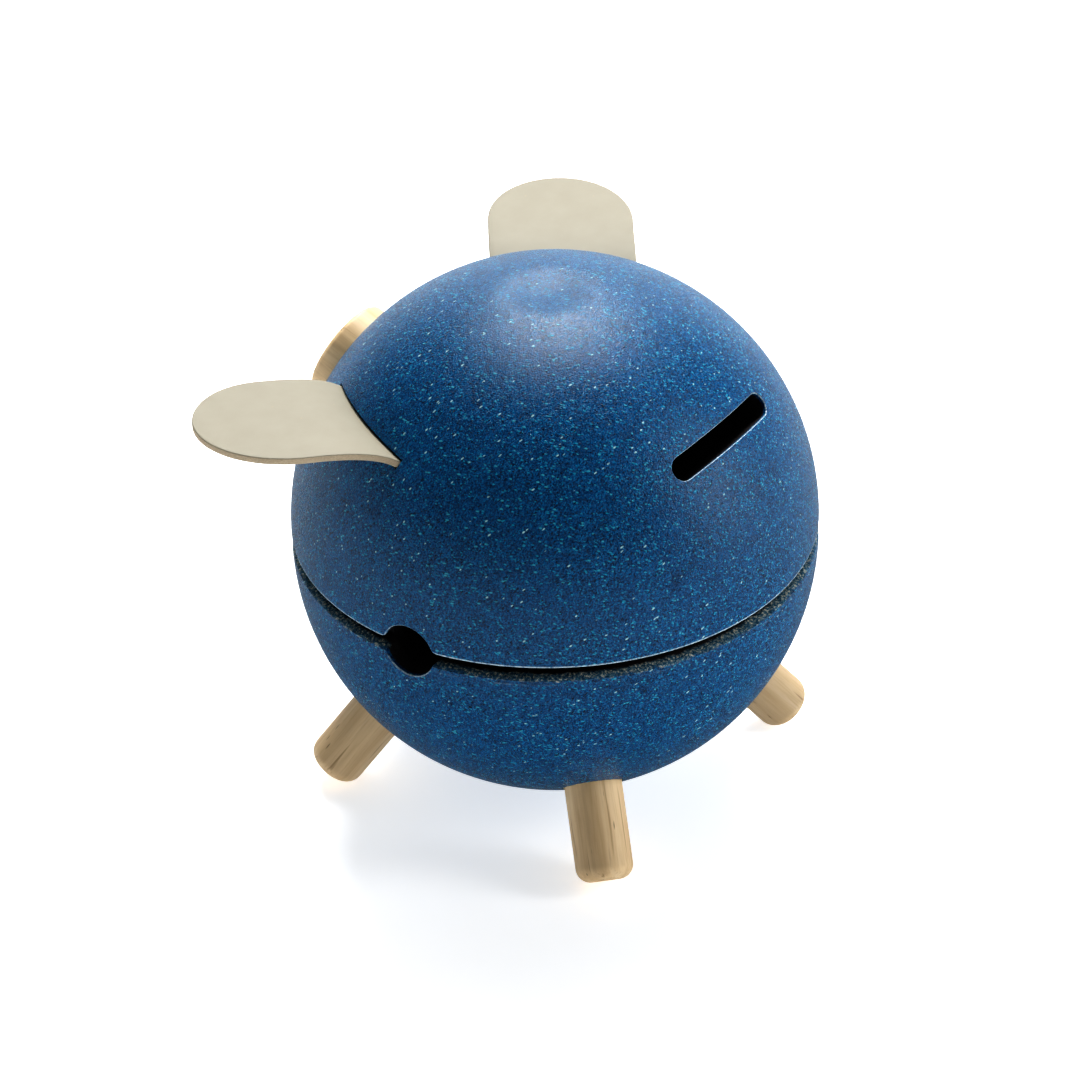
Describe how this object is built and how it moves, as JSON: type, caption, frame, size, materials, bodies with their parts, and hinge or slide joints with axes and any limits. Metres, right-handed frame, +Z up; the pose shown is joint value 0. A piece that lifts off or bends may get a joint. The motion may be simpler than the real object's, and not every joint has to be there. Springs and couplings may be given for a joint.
{
  "type": "piggy bank",
  "caption": "Ball-shaped coin bank on splayed dowel legs, with a disc snout, two bent sheet ears, a coin slot and a lift-off upper half.",
  "frame": {"origin": "on the ground plane, under the middle of the bounding box", "axes": "+Z up, the pig faces -Y, its left side is +X"},
  "size_m": [0.1256, 0.1124, 0.1148],
  "materials": {
    "blue_composite": "deep blue pressed-wood composite with fine teal and pale fibres, satin lacquer",
    "ring_composite": "darker, rougher pressed-wood composite",
    "light_wood": "pale close-grained wood, matte, with fine pores",
    "cream_leather": "smooth matte cream sheet with tan cut edges"
  },
  "bodies": {
    "base": {"lower_shell": "blue_composite", "locating_ring": "ring_composite", "front_left_leg": "light_wood", "rear_left_leg": "light_wood", "rear_right_leg": "light_wood", "front_right_leg": "light_wood"},
    "lid": {"upper_shell": "blue_composite", "snout": "light_wood", "left_ear": "cream_leather", "right_ear": "cream_leather"}
  },
  "joints": [
    {"name": "lid_lift", "type": "slide", "parent": "base", "child": "lid", "axis": [0, 0, 1], "range_m": [0, 0.06]}
  ]
}
